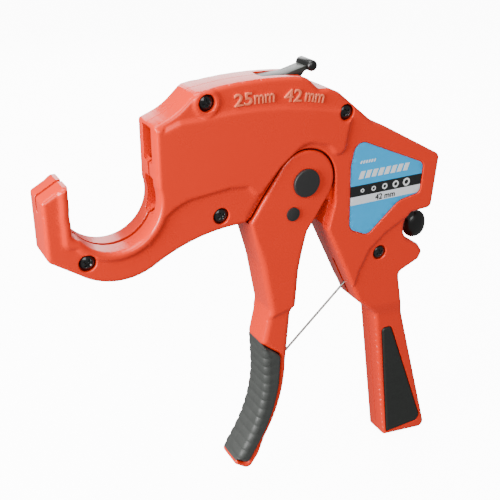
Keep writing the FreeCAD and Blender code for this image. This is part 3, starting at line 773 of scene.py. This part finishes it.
def mesh_of(name, curve):
    """The mesh that Blender makes from a curve or a text."""
    holder = add_to_scene(bpy.data.objects.new(name, curve))
    bpy.context.view_layer.update()
    mesh = bpy.data.meshes.new_from_object(holder.evaluated_get(bpy.context.evaluated_depsgraph_get()))
    bpy.data.objects.remove(holder)
    return mesh


def wire(name, paths, radius):
    """A round wire along one or more lines."""
    curve = bpy.data.curves.new(name, "CURVE")
    curve.dimensions = "3D"
    curve.bevel_depth = radius * MM
    curve.bevel_resolution = 5
    curve.use_fill_caps = True
    for path in paths:
        line = curve.splines.new("POLY")
        line.points.add(len(path) - 1)
        for point, place in zip(line.points, path):
            point.co = (*[v * MM for v in place], 1)
    mesh = mesh_of(name, curve)
    mesh.shade_smooth()
    return add_to_scene(bpy.data.objects.new(name, mesh))


reach = math.dist(SPRING_PIN, SPRING_TIP)
start_turn = math.atan2(SPRING_TIP[1] - SPRING_PIN[1], SPRING_TIP[0] - SPRING_PIN[0])
start_turn += math.pi / 2 - math.asin(COIL_R / reach)


def coil(side, turns=2.0):
    """One of the two coils, wound outwards from the leg."""
    path = []
    for i in range(int(turns * 40) + 1):
        turn = start_turn + 2 * math.pi * i / 40
        x, z = SPRING_PIN[0] + COIL_R * math.cos(turn), SPRING_PIN[1] + COIL_R * math.sin(turn)
        path.append((x, side * 1.34 * i / 40, z))
    return path


leg = [(SPRING_TIP[0], 0.0, SPRING_TIP[1])]
spring = wire("return_spring_wire", [leg + coil(1), coil(-1)], WIRE_R)
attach(spring, "return_spring")
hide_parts("lever_return_spring")
print("return spring:", len(spring.data.vertices), "points")

# %% [markdown]
# ## Raised numerals
# The two capacities stand proud of the casting, along its top edge, each turned to follow the curve of that edge.
# A text object gives the shapes. It is turned into a mesh and set to a size in millimetres, so that the result
# doesn't depend on the font's own units.


# %% Make the numerals
def lettering(name, words, centre, size, tilt, y0, y1):
    """Letters as a solid of the given (width, height) in mm, facing -Y, or +Y if y1 is above zero."""
    curve = bpy.data.curves.new(name, "FONT")
    curve.body = words
    curve.offset = -0.012
    curve.extrude = 0.05
    curve.bevel_depth = 0.035
    curve.bevel_resolution = 2
    curve.resolution_u = 6
    mesh = mesh_of(name, curve)
    points = np.array([v.co for v in mesh.vertices])
    low, high = points.min(0), points.max(0)
    flat = (points[:, :2] - (low[:2] + high[:2]) / 2) * np.array(size) / (high[:2] - low[:2])
    if y1 > 0:
        flat[:, 0] *= -1
    angle = math.radians(tilt)
    x = centre[0] + flat[:, 0] * math.cos(angle) - flat[:, 1] * math.sin(angle)
    z = centre[1] + flat[:, 0] * math.sin(angle) + flat[:, 1] * math.cos(angle)
    y = y0 + (y1 - y0) * (points[:, 2] - low[2]) / (high[2] - low[2])
    for vertex, place in zip(mesh.vertices, np.column_stack((x, y, z))):
        vertex.co = place * MM
    clean(mesh)
    piece = add_to_scene(bpy.data.objects.new(name, mesh))
    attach(piece, "housing")
    return piece


NUMERAL_FOOT, NUMERAL_FACE = -10.2, -11.35
NUMERALS = [
    ("numeral_25", "25", (65.2, 42.6), (9.6, 6.2), 1),
    ("numeral_25_unit", "mm", (76.3, 41.7), (11.0, 4.4), -1),
    ("numeral_42", "42", (92.2, 41.2), (9.8, 6.2), -6),
    ("numeral_42_unit", "mm", (104.2, 38.6), (11.0, 4.4), -12),
]
numerals = [lettering(*row, NUMERAL_FOOT, NUMERAL_FACE) for row in NUMERALS]
print("numerals:", [p.name for p in numerals])

# %% [markdown]
# ## Labels
# A printed film is stuck in a pocket on each side of the tail. Its broad stripes belong to its finish. The marks
# on it are plain blocks, rings for pipe sizes and the capacity, made as very thin ink so that they stay crisp
# from close by.


# %% Make the label films
def label_film(node, name, side):
    """The film, with a softly rounded edge."""
    body = node_outlines(node, side * 9.95)[0]

    def outer(places, probe):
        return 10.2 - rounded(distance(places, body), 0.35)

    groups = [inside_only(ring(body, s, 0.8), [body], 0.6 * s) for s in (0.05, 0.15, 0.35)]
    groups.append(inside_only(lattice([body], 3.0), [body], 0.8))
    verts, polygons = shell(
        [body], spread(groups, 0.1), outer, lambda p: np.full(len(p), 9.72), side, seam=0.02
    )
    piece = build(name, verts, polygons)
    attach(piece, "housing")
    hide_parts(node)
    return piece


films = [label_film("left_label", "left_label_film", -1), label_film("right_label", "right_label_film", 1)]
print("label films:", [len(o.data.vertices) for o in films], "points")


# %% Print the marks
INK_FACE, INK_BACK = 10.26, 10.15


def ink(name, outlines, side):
    """Flat printed marks on the film. An outline inside another is a hole."""
    parts = []
    for group in outlines:
        middle = np.array([group[0].mean(0) + (0.001, 0.0)]) if len(group) == 1 else np.empty((0, 2))
        parts.append(shell(
            group, middle, lambda places, probe: np.full(len(places), INK_FACE),
            lambda p: np.full(len(p), INK_BACK), side, seam=0.0
        ))
    piece = join_parts(name, parts)
    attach(piece, "housing")
    return piece


def slanted(x, z, width, height):
    """A leaning block."""
    lean = 0.35 * height
    return np.array([(x, z), (x + width, z), (x + width + lean, z + height), (x + lean, z + height)])


white_marks = [[slanted(133.5 + 4.1 * i, -9.0, 2.9, 4.2)] for i in range(8)]
white_marks += [[slanted(134.0 + 1.7 * i, -0.6, 1.0, 1.6)] for i in range(6)]
for i, radius in enumerate((1.1, 1.4, 1.7, 2.0, 2.3)):
    where = (136.5 + 7.2 * i, -15.8)
    white_marks.append([disc(where, radius, 32), disc(where, radius * 0.55, 32)])
inks = [ink("left_label_marks", white_marks, -1), ink("right_label_marks", white_marks, 1)]
captions = [
    lettering("left_label_size", "42 mm", (151.5, -21.1), (13.0, 3.4), 0, -10.15, -10.28),
    lettering("right_label_size", "42 mm", (151.5, -21.1), (13.0, 3.4), 0, 10.15, 10.28),
]
print("label pieces:", [p.name for p in films + inks + captions])

# %% [markdown]
# ## Finishes
# The castings wear a glossy orange-red enamel. The rest is moulded rubber, blackened steel, bright steel and
# ink. No real surface is perfectly even, so every finish lets a noise texture change its tone and its sheen a
# little, and gives it a fine grain. All of it is computed from the object's own coordinates, so no picture has
# to be loaded.


# %% Parts of a finish
def set_sockets(node, sockets):
    """Gives sockets of a shader node their values."""
    for socket, value in sockets.items():
        node.inputs[socket].default_value = value


def finish_base(name, color, rough, metal=0.0, coat=0.0):
    """A principled material with its node tree and shader."""
    material = bpy.data.materials.new(name)
    material.use_nodes = True
    tree = material.node_tree
    shader = tree.nodes["Principled BSDF"]
    set_sockets(shader, {
        "Base Color": (*color, 1), "Roughness": rough, "Metallic": metal,
        "Coat Weight": coat, "Coat Roughness": 0.12,
    })
    return material, tree, shader


def add_variation(tree, shader, color, amount, scale, rough, rough_amount):
    """Slight uneven tone and sheen from a noise texture."""
    place = tree.nodes.new("ShaderNodeTexCoord")
    noise = tree.nodes.new("ShaderNodeTexNoise")
    set_sockets(noise, {"Scale": scale, "Detail": 4})
    tree.links.new(place.outputs["Object"], noise.inputs["Vector"])
    tone = tree.nodes.new("ShaderNodeValToRGB")
    tone.color_ramp.elements[0].color = (*[c * (1 - amount) for c in color], 1)
    tone.color_ramp.elements[1].color = (*[min(1, c * (1 + amount)) for c in color], 1)
    tree.links.new(noise.outputs["Fac"], tone.inputs["Fac"])
    tree.links.new(tone.outputs["Color"], shader.inputs["Base Color"])
    sheen = tree.nodes.new("ShaderNodeMapRange")
    set_sockets(sheen, {"To Min": rough - rough_amount, "To Max": rough + rough_amount})
    tree.links.new(noise.outputs["Fac"], sheen.inputs["Value"])
    tree.links.new(sheen.outputs["Result"], shader.inputs["Roughness"])
    return place


def add_grain(tree, shader, place, scale, strength, height):
    """Fine surface relief."""
    grain = tree.nodes.new("ShaderNodeTexNoise")
    set_sockets(grain, {"Scale": scale, "Detail": 3})
    tree.links.new(place.outputs["Object"], grain.inputs["Vector"])
    bump = tree.nodes.new("ShaderNodeBump")
    set_sockets(bump, {"Strength": strength, "Distance": height})
    tree.links.new(grain.outputs["Fac"], bump.inputs["Height"])
    tree.links.new(bump.outputs["Normal"], shader.inputs["Normal"])


print("materials before mixing:", len(bpy.data.materials))


# %% Mix the finishes
def finish(name, color, rough, metal=0.0, coat=0.0, vary=0.05, scale=60, grain=900, relief=0.1):
    """A complete procedural finish."""
    material, tree, shader = finish_base(name, color, rough, metal, coat)
    place = add_variation(tree, shader, color, vary, scale, rough, min(0.06, rough * 0.3))
    add_grain(tree, shader, place, grain, relief, 0.00012)
    return material


PAINTED = {"vary": 0.03, "scale": 35, "grain": 160, "relief": 0.015}
MOULDED = {"vary": 0.18, "scale": 220, "grain": 2600, "relief": 0.35}
enamel = finish("Orange enamel", (0.84, 0.028, 0.003), 0.28, coat=0.2, **PAINTED)
# The numerals' enamel is paler than the casting's. This is a painted highlight, standing in for the light that their
# raised strokes catch.
numeral_highlight_enamel = finish("Numeral enamel with painted highlight", (0.88, 0.17, 0.08), 0.26, coat=0.3, **PAINTED)
sleeve_rubber = finish("Sleeve rubber", (0.042, 0.045, 0.042), 0.52, **MOULDED)
tab_steel = finish(
    "Oiled tab steel", (0.055, 0.06, 0.054), 0.4, metal=0.3, coat=0.12, vary=0.25, scale=120, relief=0.2
)
rubber = finish("Moulded rubber", (0.016, 0.018, 0.016), 0.5, **MOULDED)
black_screw = finish(
    "Blackened screw steel", (0.022, 0.024, 0.025), 0.17, metal=0.6, coat=0.5, vary=0.25, scale=500, relief=0.15
)
black_steel = finish(
    "Blackened steel", (0.008, 0.0085, 0.008), 0.3, metal=0.1, coat=0.2, vary=0.2, scale=300, relief=0.15
)
zinc = finish("Zinc plate", (0.52, 0.52, 0.5), 0.35, metal=0.95, vary=0.12, scale=250, relief=0.15)
blade_steel = finish(
    "Ground blade steel", (0.6, 0.61, 0.62), 0.24, metal=1.0, vary=0.06, scale=90, grain=1500, relief=0.08
)
spring_steel = finish("Spring wire", (0.33, 0.32, 0.3), 0.3, metal=0.95, vary=0.12, scale=400, relief=0.1)
white_ink = finish("White ink", (0.82, 0.84, 0.85), 0.4, vary=0.02, scale=300, relief=0.02)
black_ink = finish("Black ink", (0.012, 0.012, 0.012), 0.4, vary=0.1, scale=300, relief=0.02)
enamel_shader = enamel.node_tree.nodes["Principled BSDF"]
enamel_shader.inputs["Specular IOR Level"].default_value = 0.35
floor_finish = finish("Pale floor", (0.9, 0.9, 0.9), 0.7, vary=0.01, scale=3, grain=40, relief=0.02)
floor_shader = floor_finish.node_tree.nodes["Principled BSDF"]
set_sockets(floor_shader, {"Emission Color": (1, 1, 1, 1), "Emission Strength": 11.0})
floor_finish.cycles.emission_sampling = "NONE"
print("finishes mixed:", len(bpy.data.materials))


# %% [markdown]
# ## Painted shade in the gaps
# Paint in a narrow gap or a hollow looks much darker than paint on an open face, because little light gets in.
# Light bouncing between two bright orange walls in the render would hide that, so the shade is painted into the
# enamel's colour: an ambient occlusion node measures how closed in each point is, and the enamel's colour is
# scaled down by it, once for the thin gap round the lever's cheek, and once, more gently, for the blade channel.


# %% Paint shade into the gaps
def paint_gap_shade(material, reach, darkest, clear=0.5):
    """Painted shade: the enamel's base colour is scaled down where ambient occlusion finds deep gaps and seams."""
    tree = material.node_tree
    shader = tree.nodes["Principled BSDF"]
    tone = shader.inputs["Base Color"].links[0].from_socket
    shade = tree.nodes.new("ShaderNodeAmbientOcclusion")
    shade.samples = 16
    shade.inputs["Distance"].default_value = reach
    level = tree.nodes.new("ShaderNodeMapRange")
    set_sockets(level, {"From Min": 0.1, "From Max": clear, "To Min": darkest})
    tree.links.new(shade.outputs["AO"], level.inputs["Value"])
    scaled = tree.nodes.new("ShaderNodeVectorMath")
    scaled.operation = "SCALE"
    tree.links.new(tone, scaled.inputs[0])
    tree.links.new(level.outputs["Result"], scaled.inputs["Scale"])
    tree.links.new(scaled.outputs["Vector"], shader.inputs["Base Color"])


# Painted shade: dark in the narrow gap round the lever's cheek, then gentler in the blade channel.
paint_gap_shade(enamel, 0.0025, 0.06)
paint_gap_shade(enamel, 0.014, 0.35, clear=0.42)
print("the enamel now has", len(enamel.node_tree.nodes), "nodes")


# %% [markdown]
# ## Printed film
# The film is sky blue, with a black stripe and a pale stripe across it. The stripes are level bands, so a colour
# ramp with hard steps, read at each point's height, prints them sharply at any distance.


# %% Print the film
def stripe_film():
    """Sky-blue film with a black and a pale stripe across it."""
    material, tree, shader = finish_base("Printed film", (0.02, 0.42, 0.78), 0.3, coat=0.2)
    shader.inputs["Specular IOR Level"].default_value = 0.35
    place = tree.nodes.new("ShaderNodeTexCoord")
    split = tree.nodes.new("ShaderNodeSeparateXYZ")
    tree.links.new(place.outputs["Object"], split.inputs["Vector"])
    level = tree.nodes.new("ShaderNodeMapRange")
    set_sockets(level, {"From Min": -0.044, "From Max": 0.016})
    tree.links.new(split.outputs["Z"], level.inputs["Value"])
    bands = tree.nodes.new("ShaderNodeValToRGB")
    bands.color_ramp.interpolation = "CONSTANT"
    blue, black, pale = (0.02, 0.43, 0.85, 1), (0.012, 0.013, 0.014, 1), (0.8, 0.83, 0.88, 1)
    # Heights above the foot of the ramp, at z = -44 mm, as a share of its 60 mm.
    stops = [(0.0, blue), ((44 - 23.4) / 60, pale), ((44 - 18.8) / 60, black), ((44 - 12.8) / 60, blue)]
    bands.color_ramp.elements[0].color = blue
    bands.color_ramp.elements[1].position = stops[1][0]
    bands.color_ramp.elements[1].color = pale
    for at, color in stops[2:]:
        bands.color_ramp.elements.new(at).color = color
    tree.links.new(level.outputs["Result"], bands.inputs["Fac"])
    noise = tree.nodes.new("ShaderNodeTexNoise")
    noise.inputs["Scale"].default_value = 150
    tree.links.new(place.outputs["Object"], noise.inputs["Vector"])
    weight = tree.nodes.new("ShaderNodeMapRange")
    set_sockets(weight, {"To Min": 0.94, "To Max": 1.04})
    tree.links.new(noise.outputs["Fac"], weight.inputs["Value"])
    mix = tree.nodes.new("ShaderNodeVectorMath")
    mix.operation = "SCALE"
    tree.links.new(bands.outputs["Color"], mix.inputs[0])
    tree.links.new(weight.outputs["Result"], mix.inputs["Scale"])
    tree.links.new(mix.outputs["Vector"], shader.inputs["Base Color"])
    return material


film = stripe_film()
print("film finish has", len(film.node_tree.nodes), "nodes")

# %% [markdown]
# ## Dress every piece
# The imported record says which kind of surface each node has, so a table from that word to a finish dresses them
# all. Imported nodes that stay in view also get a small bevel, because no machined edge is perfectly sharp and the
# bevel is what catches the light. Weld comes first: bevel needs faces that share their points.

# %% Give each piece its finish
SLOT_FINISH = {
    "paint": enamel, "rubber": rubber, "black_screw": black_screw, "black_steel": black_steel,
    "zinc": zinc, "blade_steel": blade_steel, "spring_steel": spring_steel, "label": zinc,
}


def dress(piece, material):
    """Gives a piece one material."""
    piece.data.materials.clear()
    piece.data.materials.append(material)


for material_row in frame["record"]["materials"]:
    for node in material_row.get("nodes", []):
        dress(nodes[node], SLOT_FINISH[material_row["slot"]])
for node in nodes.values():
    if not node.hide_render:
        weld = node.modifiers.new("Join points", "WELD")
        weld.merge_threshold = 2e-6
        soften = node.modifiers.new("Broken edges", "BEVEL")
        soften.width = {"main_pivot_pin": 0.0007, "lever_link_pin": 0.0005}.get(node.name, 0.00022)
        soften.segments = 2
        soften.limit_method = "ANGLE"
        soften.angle_limit = math.radians(38)
        node.data.shade_smooth()
outfits = [
    (enamel, [left_half, right_half, lever]),
    (numeral_highlight_enamel, numerals),
    (tab_steel, [nodes["hold_pawl"]]),
    (sleeve_rubber, [sleeve]),
    (rubber, inlays),
    (black_screw, [screws]),
    (black_steel, [thumb_bar, knob]),
    (spring_steel, [spring]),
    (film, films),
    (white_ink, inks),
    (black_ink, captions),
]
for material, worn_by in outfits:
    for piece in worn_by:
        dress(piece, material)
print("dressed", len(nodes), "nodes")

# %% [markdown]
# ## Floor, light and camera
# The tool stands on a pale floor that curves up far behind it, so no horizon shows from any side. The floor glows
# and is left out of reflections, or it would tint the enamel. Large soft lamps light the front, the left and the
# top, and a weaker one lights the back, so that every side can be seen. The camera looks from the front left and
# a little from above.

# %% Lay the floor
lo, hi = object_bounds()
floor_mesh = bpy.data.meshes.new("Studio floor")
COVE = [(0.01, 0.0), (2.6, 0.0), (3.0, 0.06), (3.3, 0.3), (3.5, 0.8), (3.6, 4.0)]
SPOKES = 64
bearings = np.linspace(0, 2 * np.pi, SPOKES, endpoint=False)
cove_points = [(r * math.cos(t), r * math.sin(t), rise) for r, rise in COVE for t in bearings]
middle_face = tuple(range(SPOKES - 1, -1, -1))
floor_mesh.from_pydata(cove_points, [], wrap(len(COVE), SPOKES) + [middle_face])
floor_mesh.shade_smooth()
floor = add_to_scene(bpy.data.objects.new("Studio floor", floor_mesh))
floor.location.z = lo.z - 0.0002
floor.visible_glossy = False
floor.visible_diffuse = False
dress(floor, floor_finish)
print("floor height in mm:", round(floor.location.z / MM, 1))

# %% Fill the room with soft light
world = bpy.data.worlds.new("Studio air")
bpy.context.scene.world = world
world.use_nodes = True
set_sockets(world.node_tree.nodes["Background"], {"Color": (1, 1, 1, 1), "Strength": 0.3})
print("room light:", world.name)


# %% Hang the lamps
def softbox(name, place, aim, size, watts):
    """A square area light aimed at a point."""
    light = bpy.data.lights.new(name, "AREA")
    light.size = size
    light.energy = watts
    holder = add_to_scene(bpy.data.objects.new(name, light))
    holder.location = place
    holder.rotation_euler = (Vector(aim) - Vector(place)).to_track_quat("-Z", "Y").to_euler()


CENTRE = (0.08, 0.0, -0.07)
softbox("Key from the left", (-0.8, -0.2, 0.3), CENTRE, 0.5, 17.0)
softbox("Low light from the left", (-0.95, -0.2, -0.03), CENTRE, 0.35, 5.0)
softbox("Top light", (-0.15, 0.15, 0.9), CENTRE, 0.7, 8.5)
softbox("Front fill", (-0.3, -1.0, 0.65), CENTRE, 0.8, 10.0)
softbox("Back fill", (0.5, 1.0, 0.45), CENTRE, 0.8, 8.5)
print("lamps in watts:", {light.name: light.energy for light in bpy.data.lights})

# %% Place the camera
eye = bpy.data.cameras.new("Camera")
eye.lens = 61.2
eye.sensor_width = 36
eye.clip_start = 0.01
camera = add_to_scene(bpy.data.objects.new("Camera", eye))
azimuth, elevation, reach = math.radians(-27.7), math.radians(25.2), 0.431
target = Vector((0.06886, -0.0105, -0.03576))
level = math.cos(elevation)
back = Vector((math.sin(azimuth) * level, -math.cos(azimuth) * level, math.sin(elevation)))
camera.location = target + back * reach
camera.rotation_euler = (-back).to_track_quat("-Z", "Y").to_euler()
bpy.context.scene.camera = camera
print("camera at", [round(c, 3) for c in camera.location])
